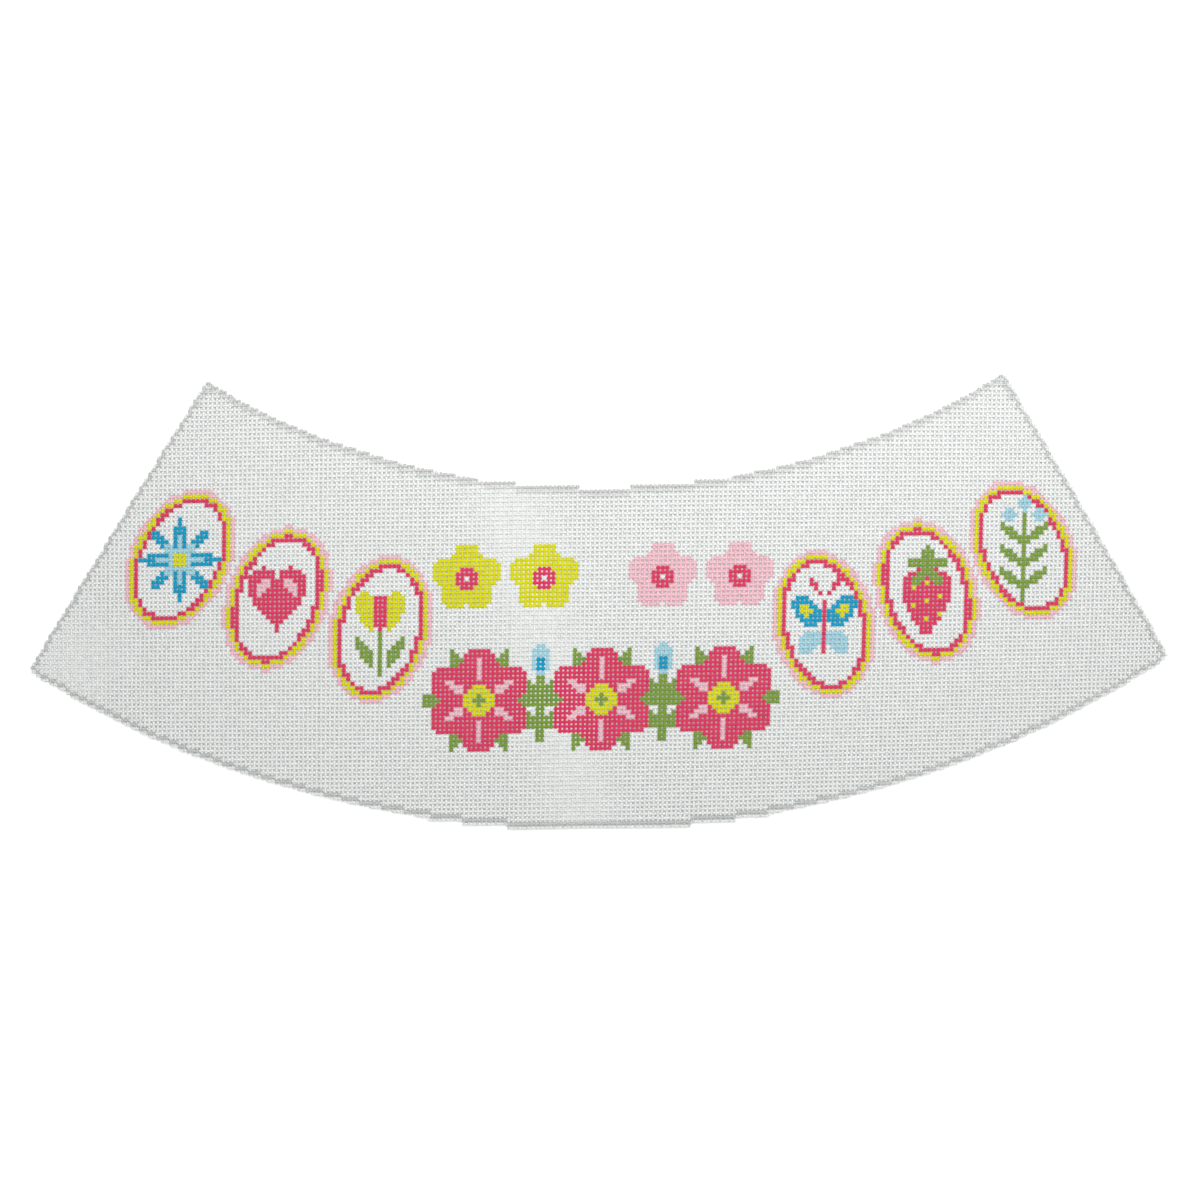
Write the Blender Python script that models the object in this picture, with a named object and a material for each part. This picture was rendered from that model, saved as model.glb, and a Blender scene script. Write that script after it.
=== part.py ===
"""A needlepoint canvas panel: one flat piece of open cotton canvas, cut along its threads to part of a ring.

It lies face up. +X runs along the rows of the weave, +Y points to the hollow edge, and +Z is up, in metres.
The origin is under the middle of its box. Columns are counted from the panel's centre line and rows
from the centre of the ring, so a crossing of two threads is (column, row), both in threads.
"""

import math

import bmesh
import bpy

# The weave.
THREADS_PER_INCH = 13
INCH = 0.0254
OPEN_PITCH = 1.036 * INCH / THREADS_PER_INCH  # the weave's pitch where it is most open
OPEN_CROSSING = (-10.7, 155.1)
CLOSING = 0.0172  # the weave closes up by this share 100 threads away from there
LEAN = 0.0271  # threads that the columns lean sideways for each row
DROOP = 0.66  # threads that the rows droop towards the round edge, 100 threads to the side
SHEET_THICKNESS = 0.0011

# The outline, in threads: the last crossings inside a part of a ring, and the thread left outside them.
HOLLOW_RADIUS = 170.6
ROUND_RADIUS = 245.4
HOLLOW_HALF_COLUMNS = 88
ROUND_HALF_COLUMNS = 128
HOLLOW_MARGIN = 0.4
ROUND_MARGIN = 1.0
END_MARGIN = 1.0
LONG_RUN = 6  # the cut steps past each end of a run of this many crossings or more
STEP_OVERHANG = 0.3


def place(column, row):
    """A crossing's place on the table, before the panel is centred."""
    sideways = column - OPEN_CROSSING[0]
    along = OPEN_CROSSING[1] - row - DROOP * (sideways / 100) ** 2
    across = sideways + LEAN * along
    pitch = OPEN_PITCH * (1 - CLOSING * (across**2 + along**2) / 100**2)
    return pitch * across, pitch * along


def arc_row(radius, column):
    """The row of the crossing nearest an arc of the ring."""
    return round(math.sqrt(radius**2 - column**2))


HOLLOW_CORNER_ROW = arc_row(HOLLOW_RADIUS, HOLLOW_HALF_COLUMNS)
ROUND_CORNER_ROW = arc_row(ROUND_RADIUS, ROUND_HALF_COLUMNS)


def end_column(row):
    """The last column of the right-hand end in a row."""
    share = (row - HOLLOW_CORNER_ROW) / (ROUND_CORNER_ROW - HOLLOW_CORNER_ROW)
    return round(HOLLOW_HALF_COLUMNS + share * (ROUND_HALF_COLUMNS - HOLLOW_HALF_COLUMNS))


def runs(stations, level_at):
    """[first, last, level] of each run of neighbouring stations that share a level."""
    found = []
    for station in stations:
        level = level_at(station)
        if found and found[-1][2] == level:
            found[-1][1] = station
        else:
            found.append([station, station, level])
    return found


def turns(first, last):
    """Where the cut turns on a run: at both ends of a long one, and in the middle of a short one."""
    if abs(last - first) < LONG_RUN:
        return [(first + last) / 2]
    return [first - STEP_OVERHANG, last + STEP_OVERHANG]


def arc_edge(radius, half_columns, margin):
    """The cut along an arc from left to right, a margin beyond its last crossings."""
    columns = range(-half_columns, half_columns + 1)
    edge = []
    for first, last, row in runs(columns, lambda column: arc_row(radius, column)):
        for column in turns(first, last):
            angle = math.atan2(column, row)
            edge.append((column + margin * math.sin(angle), row + margin * math.cos(angle)))
    return edge


def end_edge():
    """The cut along the right-hand end, from the hollow edge to the round one."""
    edge = []
    for first, last, column in runs(range(HOLLOW_CORNER_ROW, ROUND_CORNER_ROW + 1), end_column):
        edge += [(column + END_MARGIN, row) for row in turns(first, last)]
    return edge


def outline():
    """The cut edge anticlockwise from above, as (column, row) points."""
    round_edge = arc_edge(ROUND_RADIUS, ROUND_HALF_COLUMNS, ROUND_MARGIN)
    hollow_edge = arc_edge(HOLLOW_RADIUS, HOLLOW_HALF_COLUMNS, -HOLLOW_MARGIN)
    right_end = end_edge()
    left_end = [(-column, row) for column, row in right_end]
    return round_edge + right_end[::-1] + hollow_edge[::-1] + left_end


def canvas_mesh():
    """The sheet, from its outline up: cut out, centred, and given its thickness."""
    corners = [place(column, row) for column, row in outline()]
    low = [min(corner[axis] for corner in corners) for axis in (0, 1)]
    high = [max(corner[axis] for corner in corners) for axis in (0, 1)]
    middle = [(low[axis] + high[axis]) / 2 for axis in (0, 1)]
    mesh = bmesh.new()
    mesh.faces.new([mesh.verts.new((x - middle[0], y - middle[1], 0)) for x, y in corners])
    copied = bmesh.ops.extrude_face_region(mesh, geom=mesh.faces[:], use_keep_orig=True)["geom"]
    top = [item for item in copied if isinstance(item, bmesh.types.BMVert)]
    bmesh.ops.translate(mesh, verts=top, vec=(0, 0, SHEET_THICKNESS))
    bmesh.ops.triangulate(mesh, faces=mesh.faces[:])
    bmesh.ops.recalc_face_normals(mesh, faces=mesh.faces[:])
    return mesh


def canvas_material():
    material = bpy.data.materials.new("sized_cotton_canvas")
    material.use_nodes = True
    shader = material.node_tree.nodes["Principled BSDF"]
    shader.inputs["Base Color"].default_value = (0.84, 0.87, 0.85, 1)
    shader.inputs["Roughness"].default_value = 0.75
    shader.inputs["Metallic"].default_value = 0
    return material


def main():
    for obj in list(bpy.data.objects):
        bpy.data.objects.remove(obj, do_unlink=True)
    data = bpy.data.meshes.new("canvas_panel")
    mesh = canvas_mesh()
    mesh.to_mesh(data)
    mesh.free()
    data.materials.append(canvas_material())
    panel = bpy.data.objects.new("canvas_panel", data)
    bpy.context.collection.objects.link(panel)


main()
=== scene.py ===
"""The looks of a needlepoint canvas panel: the threads of its open weave and the design painted on them.

Threads cross at whole (column, row) places, as in the part's source: columns are counted from the
panel's centre line and rows from the centre of the ring that the panel is a part of. Sizes are in metres.
"""

import math

import bpy
import numpy as np
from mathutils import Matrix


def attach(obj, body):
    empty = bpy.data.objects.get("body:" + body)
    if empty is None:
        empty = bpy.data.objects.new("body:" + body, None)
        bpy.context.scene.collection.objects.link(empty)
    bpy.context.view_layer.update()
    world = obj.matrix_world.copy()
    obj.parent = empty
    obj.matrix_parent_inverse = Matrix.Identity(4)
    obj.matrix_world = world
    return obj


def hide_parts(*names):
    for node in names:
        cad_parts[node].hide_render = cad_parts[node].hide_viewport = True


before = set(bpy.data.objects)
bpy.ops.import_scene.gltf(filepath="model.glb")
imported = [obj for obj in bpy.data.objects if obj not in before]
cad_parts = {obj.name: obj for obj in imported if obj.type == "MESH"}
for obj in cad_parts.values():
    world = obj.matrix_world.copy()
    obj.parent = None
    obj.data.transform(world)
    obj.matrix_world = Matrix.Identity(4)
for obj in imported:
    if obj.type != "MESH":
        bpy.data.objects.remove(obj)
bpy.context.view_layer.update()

# The weave, as in the part's source.
THREADS_PER_INCH = 13
INCH = 0.0254
OPEN_PITCH = 1.036 * INCH / THREADS_PER_INCH  # the weave's pitch where it is most open
OPEN_CROSSING = (-10.7, 155.1)
CLOSING = 0.0172  # the weave closes up by this share 100 threads away from there
LEAN = 0.0271  # threads that the columns lean sideways for each row
DROOP = 0.66  # threads that the rows droop towards the round edge, 100 threads to the side

# The outline in threads, as in the part's source: the last crossings and the thread left outside them.
HOLLOW_RADIUS = 170.6
ROUND_RADIUS = 245.4
HOLLOW_HALF_COLUMNS = 88
ROUND_HALF_COLUMNS = 128
HOLLOW_MARGIN = 0.4
ROUND_MARGIN = 1.0
END_MARGIN = 1.0
LEFT_FRINGE = 0.75  # the thread left at the two ends here, as the photograph shows it
RIGHT_FRINGE = 1.2
LONG_RUN = 6  # the cut steps past each end of a run of this many crossings or more
STEP_OVERHANG = 0.3
OUTER_THREAD = 0.1  # how far outside the part's cut the long runs of the round edge still hold a thread

# How the cloth lies. It stands off the table a little, and comes closer along a soft band across its middle
# and near two of its corners: a nearness of 0 changes nothing, and 1 lets it touch the table.
STAND_OFF = 0.0004
BAND_TOP_X = -0.042
BAND_BOTTOM_X = -0.014
BAND_SPAN_Y = 0.13
BAND_HALF_WIDTH = 0.03
BAND_NEARNESS = 0.8
LOW_CORNERS = (  # the middle of each, its reach and its nearness
    ((-0.235, -0.025), 0.04, 0.9),
    ((0.175, 0.085), 0.05, 0.15),
)

# A thread is a flattened tube, with a ring of points at each crossing and halfway between crossings.
THREAD_HALF_WIDTH = 0.0006
THREAD_HALF_THICKNESS = 0.00025
MIDDLE_HEIGHT = 0.00034  # of the middle of the cloth's thickness, where it touches the table
WARP_WAVE = 0.00008  # how far a thread rises over one crossing thread and dips under the next
WEFT_WAVE = 0.00006
SIDES = 6
UPPER_SIDES = 3
TOP_CORNER = math.sin(math.pi / 3)  # the height of the upper points of a ring of six with radius 1
RING_GAP = 0.12  # threads between a thread's end and the ring next to it, at least
TANGENT_STEP = 0.25  # threads to each side of a ring, between which its direction is measured
SHORTEST_THREAD = 0.7  # threads; a shorter one is left out
SHORTEST_PART = 0.3  # the same for the part of a weft that lies in one mesh
OUTER_SHIFT = 0.12  # threads that a weft outside the edge line is pushed towards it
RANDOM_SEED = 11
SIDEWAYS_WANDER = 0.01  # the spread of the threads' sideways places, in threads
WIDTH_CHANGE = 0.03  # the spread of their widths, as a share
PIECE_COLUMNS = (-110.5, -62.5, -20.5, 20.5, 62.5, 110.5)  # where one mesh ends, halfway between columns
TWISTS = 2  # for each crossing
BAKE_MARGIN = 0.005  # of the bake map, kept free along its edges
BAKE_SLANT = 0.3  # how far a height moves a point on the bake map, so that steep faces have some room there

# The paints in sRGB, as they look under the studio light.
PAINTS = {
    "bare": "ECEFED",
    "grey": "C8CAC8",
    "pale_grey": "CDCFCD",
    "faint_grey": "DADCDA",
    "rose": "DE3B65",
    "yellow": "DCDB0C",
    "blush": "F3C1CC",
    "teal": "009EC6",
    "sky": "A4D4E2",
    "green": "7E9E3C",
}
PAINT_NUMBER = {name: number for number, name in enumerate(PAINTS)}
BARE = PAINT_NUMBER["bare"]
TIP_PAINT = 0.5  # how much of the edge line's paint reaches the tips of the cut threads
SEEP = 0.4  # how much of the paint reaches the underside of a thread
PAINT_SHADE = 0.82  # the paints are this much darker than they look, because the light is brighter than 1

# The cotton.
SPECULAR = 0.15
SUBSURFACE = 0.8
SUBSURFACE_RADIUS = (1, 1, 1)
SUBSURFACE_SCALE = 0.0005
MOTTLE_SCALE = 380
MOTTLE_DETAIL = 3
MOTTLE_NOISE = (0.3, 0.7)  # the part of the noise that makes a difference
MOTTLE_SHADE = (0.94, 1.03)  # and what it does to the colour
BARE_ROUGHNESS = 0.72
PAINTED_ROUGHNESS = 0.58
PLY_SCALE = 2 * math.pi / 10  # one band of the wave texture for each unit of the twist map
PLY_DISTORTION = 0.6
PLY_BUMP = 0.5
PLY_DEPTH = 0.00005

# The floor and the light.
FLOOR_REACH = 3
FLOOR_COLOUR = (0.97, 0.97, 0.97, 1)
FLOOR_ROUGHNESS = 0.9
FLOOR_SPECULAR = 0.1
SKY_COLOUR = (1, 1, 1, 1)
SKY_STRENGTH = 0.98
LAMP_SIZE = 0.3
LAMPS = (  # name, place and power in watts
    ("upper_left", (-0.1, 0.22, 0.3), 0.5),
    ("upper_right", (0.2, 0.22, 0.3), 0.7),
)

# The view, measured on the photograph: the middle, the width and the turn of what it shows.
VIEW_CENTRE = (0.0011, 0.0011)
VIEW_WIDTH = 0.532
VIEW_ROLL = math.radians(0.655)
LENS = 85  # mm
SENSOR = 36  # mm


def place(column, row):
    """A crossing's place on the table, before the panel is centred."""
    sideways = column - OPEN_CROSSING[0]
    along = OPEN_CROSSING[1] - row - DROOP * (sideways / 100) ** 2
    across = sideways + LEAN * along
    pitch = OPEN_PITCH * (1 - CLOSING * (across**2 + along**2) / 100**2)
    return pitch * across, pitch * along


def arc_row(radius, column):
    """The row of the crossing nearest an arc of the ring."""
    return round(math.sqrt(radius**2 - column**2))


HOLLOW_CORNER_ROW = arc_row(HOLLOW_RADIUS, HOLLOW_HALF_COLUMNS)
ROUND_CORNER_ROW = arc_row(ROUND_RADIUS, ROUND_HALF_COLUMNS)


def end_column(row):
    """The last column of the right-hand end in a row."""
    share = (row - HOLLOW_CORNER_ROW) / (ROUND_CORNER_ROW - HOLLOW_CORNER_ROW)
    return round(HOLLOW_HALF_COLUMNS + share * (ROUND_HALF_COLUMNS - HOLLOW_HALF_COLUMNS))


def runs(stations, level_at):
    """[first, last, level] of each run of neighbouring stations that share a level."""
    found = []
    for station in stations:
        level = level_at(station)
        if found and found[-1][2] == level:
            found[-1][1] = station
        else:
            found.append([station, station, level])
    return found


def turns(first, last):
    """Where the cut turns on a run: at both ends of a long one, and in the middle of a short one."""
    if abs(last - first) < LONG_RUN:
        return [(first + last) / 2]
    return [first - STEP_OVERHANG, last + STEP_OVERHANG]


def arc_edge(radius, half_columns, margin, long_run_margin):
    """The cut along an arc from left to right, a margin beyond its last crossings.

    The long runs have a margin of their own.
    """
    columns = range(-half_columns, half_columns + 1)
    edge = []
    for first, last, row in runs(columns, lambda column: arc_row(radius, column)):
        beyond = margin if last - first < LONG_RUN else long_run_margin
        for column in turns(first, last):
            angle = math.atan2(column, row)
            edge.append((column + beyond * math.sin(angle), row + beyond * math.cos(angle)))
    return edge


def end_edge(margin):
    """The cut along the right-hand end, from the hollow edge to the round one."""
    edge = []
    for first, last, column in runs(range(HOLLOW_CORNER_ROW, ROUND_CORNER_ROW + 1), end_column):
        edge += [(column + margin, row) for row in turns(first, last)]
    return edge


def outline(outer_thread=0.0, left_margin=END_MARGIN, right_margin=END_MARGIN):
    """The cut edge anticlockwise from above, as (column, row) points."""
    round_edge = arc_edge(ROUND_RADIUS, ROUND_HALF_COLUMNS, ROUND_MARGIN, ROUND_MARGIN + outer_thread)
    hollow_edge = arc_edge(HOLLOW_RADIUS, HOLLOW_HALF_COLUMNS, -HOLLOW_MARGIN, -HOLLOW_MARGIN)
    right_end = end_edge(right_margin)
    left_end = [(-column, row) for column, row in end_edge(left_margin)]
    return round_edge + right_end[::-1] + hollow_edge[::-1] + left_end


def panel_middle():
    """The middle of the placed outline's box, which the part's source puts over the origin."""
    corners = np.array([place(*point) for point in outline()])
    return (corners.min(axis=0) + corners.max(axis=0)) / 2


def soft_spot(off):
    """1 in the middle, and 0 from one unit away."""
    return (1 - np.minimum(off, 1) ** 2) ** 2


def stand_off(x, y):
    """How far the cloth stands off the table."""
    way_down = 0.5 - y / BAND_SPAN_Y
    band_x = BAND_TOP_X + way_down * (BAND_BOTTOM_X - BAND_TOP_X)
    nearness = BAND_NEARNESS * soft_spot(np.abs(x - band_x) / BAND_HALF_WIDTH)
    for (corner_x, corner_y), reach, corner_nearness in LOW_CORNERS:
        off = np.hypot(x - corner_x, y - corner_y) / reach
        nearness = np.maximum(nearness, corner_nearness * soft_spot(off))
    return STAND_OFF * (1 - nearness)


# ---- The chart: one paint number for each crossing ----

CHART_MARGIN = 3  # threads that the chart holds outside the last crossings
FIRST_COLUMN = -ROUND_HALF_COLUMNS - CHART_MARGIN
FIRST_ROW = HOLLOW_CORNER_ROW - CHART_MARGIN
COLUMNS = np.arange(FIRST_COLUMN, 1 - FIRST_COLUMN)
ROWS = np.arange(FIRST_ROW, round(ROUND_RADIUS) + 1 + CHART_MARGIN)
COLUMN_GRID, ROW_GRID = np.meshgrid(COLUMNS, ROWS)

# The edge line is paler inside this radius, along the hollow edge, and to the right of this column.
PALE_LINE_RADIUS = 176
PALE_LINE_COLUMN = 50

# The design, in threads: ovals on an arc at both sides, and flowers at these columns between them.
MEDALLION_RADIUS = 207
MEDALLION_ANGLES = [math.radians(degrees) for degrees in (13.7, 20.3, 26.9)]
MEDALLION_HALF_SIZE = (8.8, 14)
MEDALLION_RINGS = (("blush", 2.6), ("yellow", 1.6), ("rose", 0.6), ("bare", -0.6))  # with threads added
LARGE_ROW = 217
LARGE_COLUMNS = (-27, 0, 27)
SMALL_ROW = 190
SMALL_FLOWERS = {-30: "yellow", -13: "yellow", 13: "blush", 30: "blush"}


def inside_last_crossings():
    """Which crossings lie inside the painted edge line, or on it."""
    inside = np.zeros(COLUMN_GRID.shape, bool)
    for index, column in enumerate(COLUMNS):
        if abs(column) > ROUND_HALF_COLUMNS:
            continue
        held = ROWS <= arc_row(ROUND_RADIUS, column)
        if abs(column) <= HOLLOW_HALF_COLUMNS:
            held &= ROWS >= arc_row(HOLLOW_RADIUS, column)
        else:
            held &= [row >= HOLLOW_CORNER_ROW and abs(column) <= end_column(row) for row in ROWS]
        inside[:, index] = held
    return inside


def edge_line(inside):
    """The crossings inside that lie next to one outside."""
    ring = np.zeros_like(inside)
    for axis in (0, 1):
        for step in (-1, 1):
            ring |= inside & ~np.roll(inside, step, axis)
    return ring


def seen_from(column, row, turn=0.0):
    """Every crossing's x across and y up, towards the hollow edge, as seen from one place on the chart."""
    across = COLUMN_GRID - column
    up = row - ROW_GRID
    x = across * math.cos(turn) + up * math.sin(turn)
    y = up * math.cos(turn) - across * math.sin(turn)
    return x, y


def oval(seen, middle, half_size, tilt=0.0):
    """An ellipse about a middle point; a tilt in degrees leans its top to the right."""
    x = seen[0] - middle[0]
    y = seen[1] - middle[1]
    tilt = math.radians(tilt)
    across = x * math.cos(tilt) - y * math.sin(tilt)
    up = y * math.cos(tilt) + x * math.sin(tilt)
    return (across / half_size[0]) ** 2 + (up / half_size[1]) ** 2 <= 1


def pair(seen, middle, half_size, tilt=0.0):
    """An oval and its mirror image to the left."""
    right = oval(seen, middle, half_size, tilt)
    left = oval(seen, (-middle[0], middle[1]), half_size, -tilt)
    return right | left


def line(seen, start, end, half_width=0.6):
    """The crossings near a straight line between two points."""
    x, y = seen
    run, rise = end[0] - start[0], end[1] - start[1]
    share = np.clip(((x - start[0]) * run + (y - start[1]) * rise) / (run**2 + rise**2), 0, 1)
    return np.hypot(x - start[0] - share * run, y - start[1] - share * rise) <= half_width


def petals(seen, count, distance, half_size, first=0):
    """Ovals that point outwards, evenly round a middle; the first one's angle is from straight up."""
    found = np.zeros(COLUMN_GRID.shape, bool)
    for number in range(count):
        tilt = first + 360 * number / count
        angle = math.radians(tilt)
        found |= oval(seen, (distance * math.sin(angle), distance * math.cos(angle)), half_size, tilt)
    return found


# A motif is a list of paints and the crossings that each one covers, in the order of painting.
# Its points and sizes are in threads, about the motif's middle, and its tilts in degrees.

def large_flower(seen):
    return [
        ("green", petals(seen, 6, 9.6, (1.6, 3.4), 30)),
        ("rose", petals(seen, 6, 7.2, (4.1, 4.6))),
        ("blush", petals(seen, 6, 6.4, (0.9, 2.6))),
        ("rose", oval(seen, (0, 0), (4.2, 4.2))),
        ("yellow", oval(seen, (0, 0), (3.2, 3.2))),
        ("green", oval(seen, (0, 0), (1.2, 1.2))),
    ]


def small_flower(seen, paint):
    return [
        (paint, petals(seen, 5, 4.6, (3.2, 3.2))),
        ("rose", oval(seen, (0, 0), (2.3, 2.3))),
        ("bare", oval(seen, (0, 0), (0.9, 0.9))),
    ]


def leafy_bud(seen):
    return [
        ("green", line(seen, (0, -9), (0, 8))),
        ("green", pair(seen, (3.2, 3), (1.3, 3.6), 50)),
        ("green", pair(seen, (3.2, -4), (1.3, 3.6), 50)),
        ("sky", oval(seen, (0, 9), (2.3, 3.2))),
        ("teal", oval(seen, (0, 8), (1.2, 1.9))),
    ]


def star(seen):
    return [
        ("teal", petals(seen, 8, 4.6, (1.2, 4.4))),
        ("sky", petals(seen, 8, 3.0, (0.8, 2.4))),
        ("yellow", oval(seen, (0, 0), (1.5, 1.5))),
    ]


def heart(seen):
    x, y = seen
    side = np.sqrt(np.abs(x) / 6.4)
    return [
        ("rose", (x / 6.4) ** 2 + ((y + 1.6) / 6.2 - 0.75 * side) ** 2 <= 1),
        ("blush", oval(seen, (-3, 2.6), (1.1, 1.9), 30)),
        ("blush", oval(seen, (3, 2.6), (1.1, 1.9), -30)),
    ]


def tulip(seen):
    return [
        ("green", line(seen, (0, 0), (0, -10))),
        ("green", pair(seen, (3.4, -5), (1.3, 4), 30)),
        ("yellow", pair(seen, (2.8, 4.4), (2.3, 4.6), 14)),
        ("rose", oval(seen, (0, 3.6), (1.9, 4.2))),
    ]


def butterfly(seen):
    return [
        ("rose", pair(seen, (1.8, 8), (0.6, 3), 35)),
        ("teal", pair(seen, (3.9, 3), (2.7, 4.2), 35)),
        ("sky", pair(seen, (3.2, -4), (2.2, 3.2), -215)),
        ("yellow", pair(seen, (4.2, 3.4), (1.1, 1.7), 35)),
        ("rose", line(seen, (0, 5), (0, -6))),
    ]


def strawberry(seen):
    x, y = seen
    berry = (x / np.maximum(5.2 + 0.35 * (y + 2), 0.1)) ** 2 + ((y + 2) / 7.6) ** 2 <= 1
    return [
        ("rose", berry),
        ("yellow", berry & (COLUMN_GRID % 3 == 0) & ((ROW_GRID + COLUMN_GRID // 3) % 4 == 0)),
        ("green", petals((x, y - 5.6), 5, 2.4, (1.1, 2.6))),
        ("green", line(seen, (0, 6), (0, 10))),
    ]


def sprig(seen):
    parts = [("green", line(seen, (0, 8), (0, -11)))]
    parts += [("green", pair(seen, (3, height), (1.2, 3), 50)) for height in (-6, -1, 4)]
    parts += [("sky", oval(seen, middle, (1.6, 1.6))) for middle in ((-3.4, 8), (3.4, 8), (0, 10.5))]
    return parts


LEFT_MOTIFS = (tulip, heart, star)
RIGHT_MOTIFS = (butterfly, strawberry, sprig)


def medallion(angle, motif):
    """An oval in three rings of paint, turned with the arc of the panel, and an upright motif in it."""
    column, row = round(MEDALLION_RADIUS * math.sin(angle)), round(MEDALLION_RADIUS * math.cos(angle))
    turned = seen_from(column, row, angle)
    parts = []
    for paint, grown in MEDALLION_RINGS:
        half_size = [half + grown for half in MEDALLION_HALF_SIZE]
        parts.append((paint, oval(turned, (0, 0), half_size)))
    return parts + motif(seen_from(column, row))


def centre_flowers():
    """Two rows of flowers in the middle of the panel, with buds between them."""
    parts = []
    for left, right in zip(LARGE_COLUMNS, LARGE_COLUMNS[1:]):
        parts += leafy_bud(seen_from((left + right) / 2, LARGE_ROW))
    for column in LARGE_COLUMNS:
        parts += large_flower(seen_from(column, LARGE_ROW))
    for column, paint in SMALL_FLOWERS.items():
        parts += small_flower(seen_from(column, SMALL_ROW), paint)
    return parts


def painted_chart():
    """The whole chart: the grey line round the edge and the design inside it."""
    inside = inside_last_crossings()
    first_line = edge_line(inside)
    second_line = edge_line(inside & ~first_line)
    hollow = np.hypot(COLUMN_GRID, ROW_GRID) < PALE_LINE_RADIUS
    chart = np.full(COLUMN_GRID.shape, BARE)
    chart[first_line] = PAINT_NUMBER["grey"]
    chart[first_line & (hollow | (COLUMN_GRID > PALE_LINE_COLUMN))] = PAINT_NUMBER["pale_grey"]
    chart[second_line & hollow] = PAINT_NUMBER["faint_grey"]
    parts = centre_flowers()
    for angle, left, right in zip(MEDALLION_ANGLES, LEFT_MOTIFS, RIGHT_MOTIFS):
        parts += medallion(-angle, left) + medallion(angle, right)
    for paint, covered in parts:
        chart[covered] = PAINT_NUMBER[paint]
    return chart


# ---- Threads: a warp lies in one column, and a weft in one row ----

def paint_colour(hex_colour):
    """The linear colour to give a paint whose looks are six hex digits, by sRGB's own formula."""
    looks = np.array([int(hex_colour[start : start + 2], 16) / 255 for start in (0, 2, 4)])
    return PAINT_SHADE * np.where(looks <= 0.04045, looks / 12.92, ((looks + 0.055) / 1.055) ** 2.4)


def spans(level, axis, edge):
    """The stretches of a straight thread that lie inside the cut edge."""
    found = []
    for start, end in zip(edge, edge[1:] + edge[:1]):
        if (start[axis] > level) != (end[axis] > level):
            share = (level - start[axis]) / (end[axis] - start[axis])
            found.append(start[1 - axis] + share * (end[1 - axis] - start[1 - axis]))
    found.sort()
    return [(start, end) for start, end in zip(found[::2], found[1::2]) if end - start > SHORTEST_THREAD]


def threads_between(low_column, high_column, edge):
    """(is_warp, level, start, end) of every thread, or part of one, between two halfway lines."""
    found = []
    for column in range(math.ceil(low_column), math.floor(high_column) + 1):
        found += [(True, column, start, end) for start, end in spans(column, 0, edge)]
    for row in ROWS.tolist():
        for start, end in spans(row, 1, edge):
            start, end = max(start, low_column), min(end, high_column)
            if end - start > SHORTEST_PART:
                found.append((False, row, start, end))
    return found


def stations(start, end):
    """Where a thread has a ring of points: at its ends, its crossings and halfway between them."""
    halves = np.arange(math.ceil(2 * start), math.floor(2 * end) + 1) / 2
    halves = halves[(halves > start + RING_GAP) & (halves < end - RING_GAP)]
    return np.concatenate([[start], halves, [end]])


class Unevenness:
    """Small changes along the threads, the same wherever two meshes meet."""

    def __init__(self):
        random = np.random.default_rng(RANDOM_SEED)
        size = (2, len(COLUMNS), 2 * len(COLUMNS))
        self.sideways = random.normal(0, SIDEWAYS_WANDER, size)
        self.width = 1 + random.normal(0, WIDTH_CHANGE, size)

    def along(self, table, is_warp, level, along):
        first_level, first_station = (FIRST_COLUMN, FIRST_ROW) if is_warp else (FIRST_ROW, FIRST_COLUMN)
        stations_past = np.round(2 * (along - first_station)).astype(int)
        return table[int(is_warp), level - first_level, stations_past]


def tube(is_warp, level, along, uneven, middle):
    """The points of a thread: one row of them for each station, round the thread."""
    across_level = level + uneven.along(uneven.sideways, is_warp, level, along)
    if not is_warp:
        outside_line = along**2 + (level - 0.5) ** 2 > ROUND_RADIUS**2
        across_level -= OUTER_SHIFT * outside_line
    width = THREAD_HALF_WIDTH * uneven.along(uneven.width, is_warp, level, along)
    before, after = [
        np.array(place(across_level, along + step) if is_warp else place(along + step, across_level))
        for step in (-TANGENT_STEP, TANGENT_STEP)
    ]
    centre = (before + after) / 2 - middle[:, None]
    tangent = (after - before) / np.hypot(*(after - before))
    wave = (WARP_WAVE if is_warp else -WEFT_WAVE) * np.cos(math.pi * (level + along))
    height = MIDDLE_HEIGHT + stand_off(*centre) + wave
    angles = 2 * math.pi * np.arange(SIDES) / SIDES
    out = width[:, None] * np.cos(angles)
    up = THREAD_HALF_THICKNESS * np.sin(angles) / TOP_CORNER
    x = centre[0][:, None] + tangent[1][:, None] * out
    y = centre[1][:, None] - tangent[0][:, None] * out
    z = height[:, None] + up
    return np.stack([x, y, z], axis=-1)


def crossing_colours(is_warp, level, along, chart):
    """The top and underside colours of the nearest crossing, for each stretch between stations."""
    colours = np.array([[*paint_colour(value), name != "bare"] for name, value in PAINTS.items()])
    nearest = np.round((along[1:] + along[:-1]) / 2).astype(int)
    if is_warp:
        numbers = chart[nearest - FIRST_ROW, level - FIRST_COLUMN]
    else:
        numbers = chart[level - FIRST_ROW, nearest - FIRST_COLUMN]
    top = colours[numbers]
    for tip, beside in ((0, 1), (-1, -2)):
        if len(numbers) > 1 and numbers[tip] == BARE != numbers[beside]:
            top[tip] += TIP_PAINT * (top[beside] - top[tip])
    return top, colours[BARE] + SEEP * (top - colours[BARE])


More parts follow.
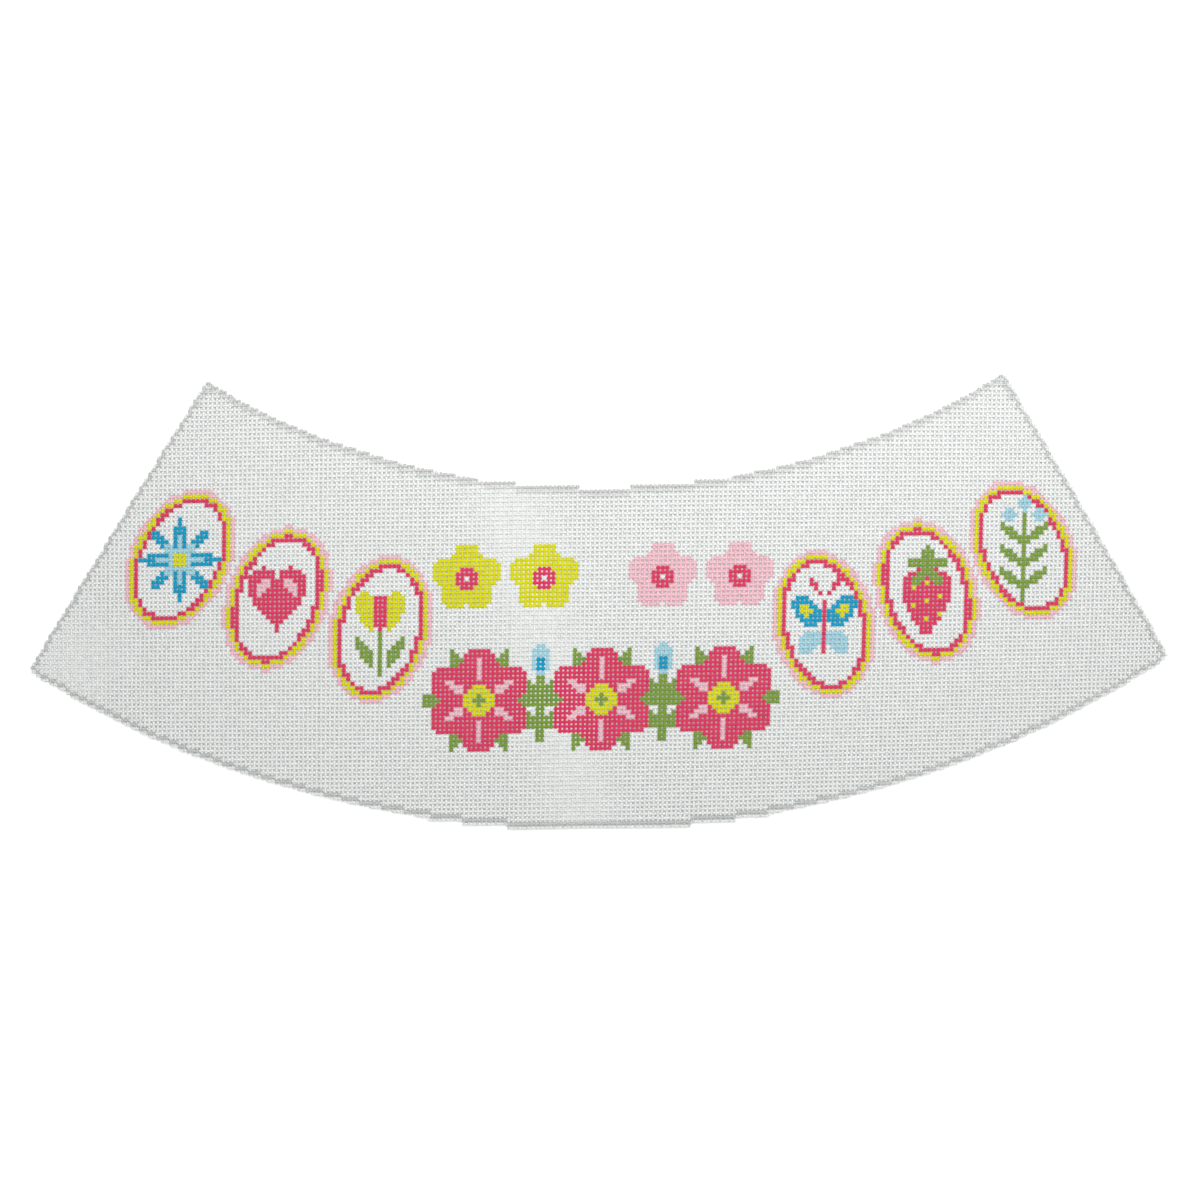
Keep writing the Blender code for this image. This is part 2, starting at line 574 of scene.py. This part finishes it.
def thread_mesh(thread, chart, uneven, middle):
    """Points, and for each four-sided face its points, colour, place along the thread and side."""
    is_warp, level, start, end = thread
    along = stations(start, end)
    points = tube(is_warp, level, along, uneven, middle)
    top, underside = crossing_colours(is_warp, level, along, chart)
    ring = SIDES * np.arange(len(along) - 1)[:, None]
    side = np.arange(SIDES)
    following = (side + 1) % SIDES
    walls = np.stack([ring + side, ring + SIDES + side, ring + SIDES + following, ring + following], axis=-1)
    wall_colours = np.repeat(underside[:, None, :], SIDES, axis=1)
    wall_colours[:, :UPPER_SIDES] = top[:, None, :]
    steps = TWISTS * along
    along_corners = np.stack([steps[:-1], steps[1:], steps[1:], steps[:-1]], axis=-1)
    around_corners = np.stack([side, side, side + 1, side + 1], axis=-1) / SIDES
    twist = np.empty((len(along) - 1, SIDES, 4, 2))
    twist[..., 0] = along_corners[:, None, :]
    twist[..., 1] = around_corners[None, :, :]
    is_upper = np.tile(side < UPPER_SIDES, len(along) - 1)
    last = SIDES * (len(along) - 1)
    # Two four-sided faces close each end.
    caps = np.array([[0, 1, 2, 3], [0, 3, 4, 5], [3, 2, 1, 0], [5, 4, 3, 0]]) + [[0], [0], [last], [last]]
    return {
        "points": points.reshape(-1, 3),
        "faces": np.concatenate([walls.reshape(-1, 4), caps]),
        "colours": np.concatenate([wall_colours.reshape(-1, 4), top[[0, 0, -1, -1]]]),
        "twist": np.concatenate([twist.reshape(-1, 4, 2), np.zeros((4, 4, 2))]),
        "upper": np.concatenate([is_upper, [True] * 4]),
        "capped": np.isin(np.arange(points.shape[0] * SIDES) // SIDES, [0, len(along) - 1]),
    }


def joined(parts):
    """The meshes of many threads as one."""
    counts = [len(part["points"]) for part in parts]
    starts = np.cumsum([0] + counts[:-1])
    for part, start in zip(parts, starts):
        part["faces"] = part["faces"] + start
    return {key: np.concatenate([part[key] for part in parts]) for key in parts[0]}


def bake_map(corners, upper):
    """The threads seen from above: their top in one half of the map, and their underside in the other."""
    flat = corners[..., :2] + BAKE_SLANT * corners[..., 2:]
    low, high = flat.min(axis=(0, 1)), flat.max(axis=(0, 1))
    spread = (flat - low) / (high - low)
    spread = BAKE_MARGIN + (1 - 2 * BAKE_MARGIN) * spread
    spread[..., 0] = spread[..., 0] / 2 + np.where(upper, 0, 0.5)[:, None]
    return spread


def weave_piece(name, threads, chart, uneven, middle, material):
    """One joined mesh of many threads."""
    parts = joined([thread_mesh(thread, chart, uneven, middle) for thread in threads])
    mesh = bpy.data.meshes.new(name)
    mesh.from_pydata(parts["points"].tolist(), [], parts["faces"].tolist())
    mesh.shade_smooth()
    ends = np.empty(2 * len(mesh.edges), int)
    mesh.edges.foreach_get("vertices", ends)
    mesh.edges.foreach_set("use_edge_sharp", parts["capped"][ends].reshape(-1, 2).all(axis=1))
    paint = mesh.color_attributes.new("paint", "FLOAT_COLOR", "CORNER")
    paint.data.foreach_set("color", np.repeat(parts["colours"], 4, axis=0).ravel())
    baked = bake_map(parts["points"][parts["faces"]], parts["upper"])
    mesh.uv_layers.new(name="OFBake").uv.foreach_set("vector", baked.ravel())
    mesh.uv_layers.new(name="twist").uv.foreach_set("vector", parts["twist"].ravel())
    mesh.materials.append(material)
    mesh.update()
    piece = bpy.data.objects.new(name, mesh)
    bpy.context.collection.objects.link(piece)
    return piece


def flat_size(threads):
    """The width, depth and area of the cloth that some threads make up."""
    area = 0
    corners = []
    for is_warp, level, start, end in threads:
        if is_warp:
            top, bottom = np.array(place(level, start)), np.array(place(level, end))
            halfway = (start + end) / 2
            pitch = place(level + 0.5, halfway)[0] - place(level - 0.5, halfway)[0]
            area += pitch * np.hypot(*(bottom - top))
            corners += [top, bottom]
        else:
            corners += [np.array(place(start, level)), np.array(place(end, level))]
    width, depth = np.max(corners, axis=0) - np.min(corners, axis=0)
    return (float(width), float(depth)), float(area)


# ---- Materials, light and camera ----

def canvas_material():
    """Sized cotton, slightly uneven in shade, with the paint from the mesh and the twist of the thread."""
    material = bpy.data.materials.new("painted_cotton_canvas")
    material.use_nodes = True
    nodes = material.node_tree.nodes
    links = material.node_tree.links
    shader = nodes["Principled BSDF"]
    shader.inputs["Specular IOR Level"].default_value = SPECULAR
    shader.inputs["Subsurface Weight"].default_value = SUBSURFACE
    shader.inputs["Subsurface Radius"].default_value = SUBSURFACE_RADIUS
    shader.inputs["Subsurface Scale"].default_value = SUBSURFACE_SCALE
    paint = nodes.new("ShaderNodeAttribute")
    paint.attribute_name = "paint"
    position = nodes.new("ShaderNodeTexCoord")
    mottle = nodes.new("ShaderNodeTexNoise")
    mottle.inputs["Scale"].default_value = MOTTLE_SCALE
    mottle.inputs["Detail"].default_value = MOTTLE_DETAIL
    links.new(position.outputs["Object"], mottle.inputs["Vector"])
    shade = nodes.new("ShaderNodeMapRange")
    shade.inputs["From Min"].default_value, shade.inputs["From Max"].default_value = MOTTLE_NOISE
    shade.inputs["To Min"].default_value, shade.inputs["To Max"].default_value = MOTTLE_SHADE
    links.new(mottle.outputs["Fac"], shade.inputs["Value"])
    colour = nodes.new("ShaderNodeVectorMath")
    colour.operation = "SCALE"
    links.new(paint.outputs["Color"], colour.inputs[0])
    links.new(shade.outputs["Result"], colour.inputs["Scale"])
    links.new(colour.outputs["Vector"], shader.inputs["Base Color"])
    gloss = nodes.new("ShaderNodeMapRange")
    gloss.inputs["To Min"].default_value = BARE_ROUGHNESS
    gloss.inputs["To Max"].default_value = PAINTED_ROUGHNESS
    links.new(paint.outputs["Alpha"], gloss.inputs["Value"])
    links.new(gloss.outputs["Result"], shader.inputs["Roughness"])
    twist = nodes.new("ShaderNodeUVMap")
    twist.uv_map = "twist"
    ply = nodes.new("ShaderNodeTexWave")
    ply.bands_direction = "DIAGONAL"
    ply.inputs["Scale"].default_value = PLY_SCALE
    ply.inputs["Distortion"].default_value = PLY_DISTORTION
    links.new(twist.outputs["UV"], ply.inputs["Vector"])
    bump = nodes.new("ShaderNodeBump")
    bump.inputs["Strength"].default_value = PLY_BUMP
    bump.inputs["Distance"].default_value = PLY_DEPTH
    links.new(ply.outputs["Fac"], bump.inputs["Height"])
    links.new(bump.outputs["Normal"], shader.inputs["Normal"])
    return material


def floor():
    """A plain pale floor."""
    mesh = bpy.data.meshes.new("floor")
    corners = [(FLOOR_REACH * x, FLOOR_REACH * y, 0) for x, y in ((-1, -1), (1, -1), (1, 1), (-1, 1))]
    mesh.from_pydata(corners, [], [(0, 1, 2, 3)])
    material = bpy.data.materials.new("pale_floor")
    material.use_nodes = True
    shader = material.node_tree.nodes["Principled BSDF"]
    shader.inputs["Base Color"].default_value = FLOOR_COLOUR
    shader.inputs["Roughness"].default_value = FLOOR_ROUGHNESS
    shader.inputs["Specular IOR Level"].default_value = FLOOR_SPECULAR
    mesh.materials.append(material)
    obj = bpy.data.objects.new("floor", mesh)
    bpy.context.collection.objects.link(obj)


def light(name, position, energy):
    """A soft square light that faces the middle of the panel."""
    lamp = bpy.data.lights.new(name, "AREA")
    lamp.size = LAMP_SIZE
    lamp.energy = energy
    obj = bpy.data.objects.new(name, lamp)
    obj.location = position
    x, y, z = position
    obj.rotation_euler = (math.atan2(math.hypot(x, y), z), 0, math.atan2(x, -y))
    obj.visible_camera = False
    bpy.context.collection.objects.link(obj)


def studio():
    """Even light from all round, and two soft lamps close above the hollow edge."""
    world = bpy.data.worlds.new("studio")
    world.use_nodes = True
    background = world.node_tree.nodes["Background"]
    background.inputs["Color"].default_value = SKY_COLOUR
    background.inputs["Strength"].default_value = SKY_STRENGTH
    bpy.context.scene.world = world
    for name, position, energy in LAMPS:
        light(name, position, energy)
    bpy.context.scene.view_settings.view_transform = "Standard"


def camera():
    """Straight down, as the photograph was taken."""
    lens = bpy.data.cameras.new("camera")
    lens.lens = LENS
    lens.sensor_width = SENSOR
    obj = bpy.data.objects.new("camera", lens)
    obj.location = (*VIEW_CENTRE, VIEW_WIDTH * LENS / SENSOR)
    obj.rotation_euler = (0, 0, -VIEW_ROLL)
    bpy.context.collection.objects.link(obj)
    bpy.context.scene.camera = obj


def main():
    chart = painted_chart()
    uneven = Unevenness()
    middle = panel_middle()
    edge = outline(OUTER_THREAD, LEFT_FRINGE, RIGHT_FRINGE)
    material = canvas_material()
    halfway_lines = (FIRST_COLUMN + 0.5, *PIECE_COLUMNS, -FIRST_COLUMN - 0.5)
    for number, (low, high) in enumerate(zip(halfway_lines, halfway_lines[1:]), 1):
        threads = threads_between(low, high, edge)
        piece = weave_piece(f"canvas_weave_{number}", threads, chart, uneven, middle, material)
        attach(piece, "root")
        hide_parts("canvas_panel")
        size, area = flat_size(threads)
    floor()
    studio()
    camera()


main()
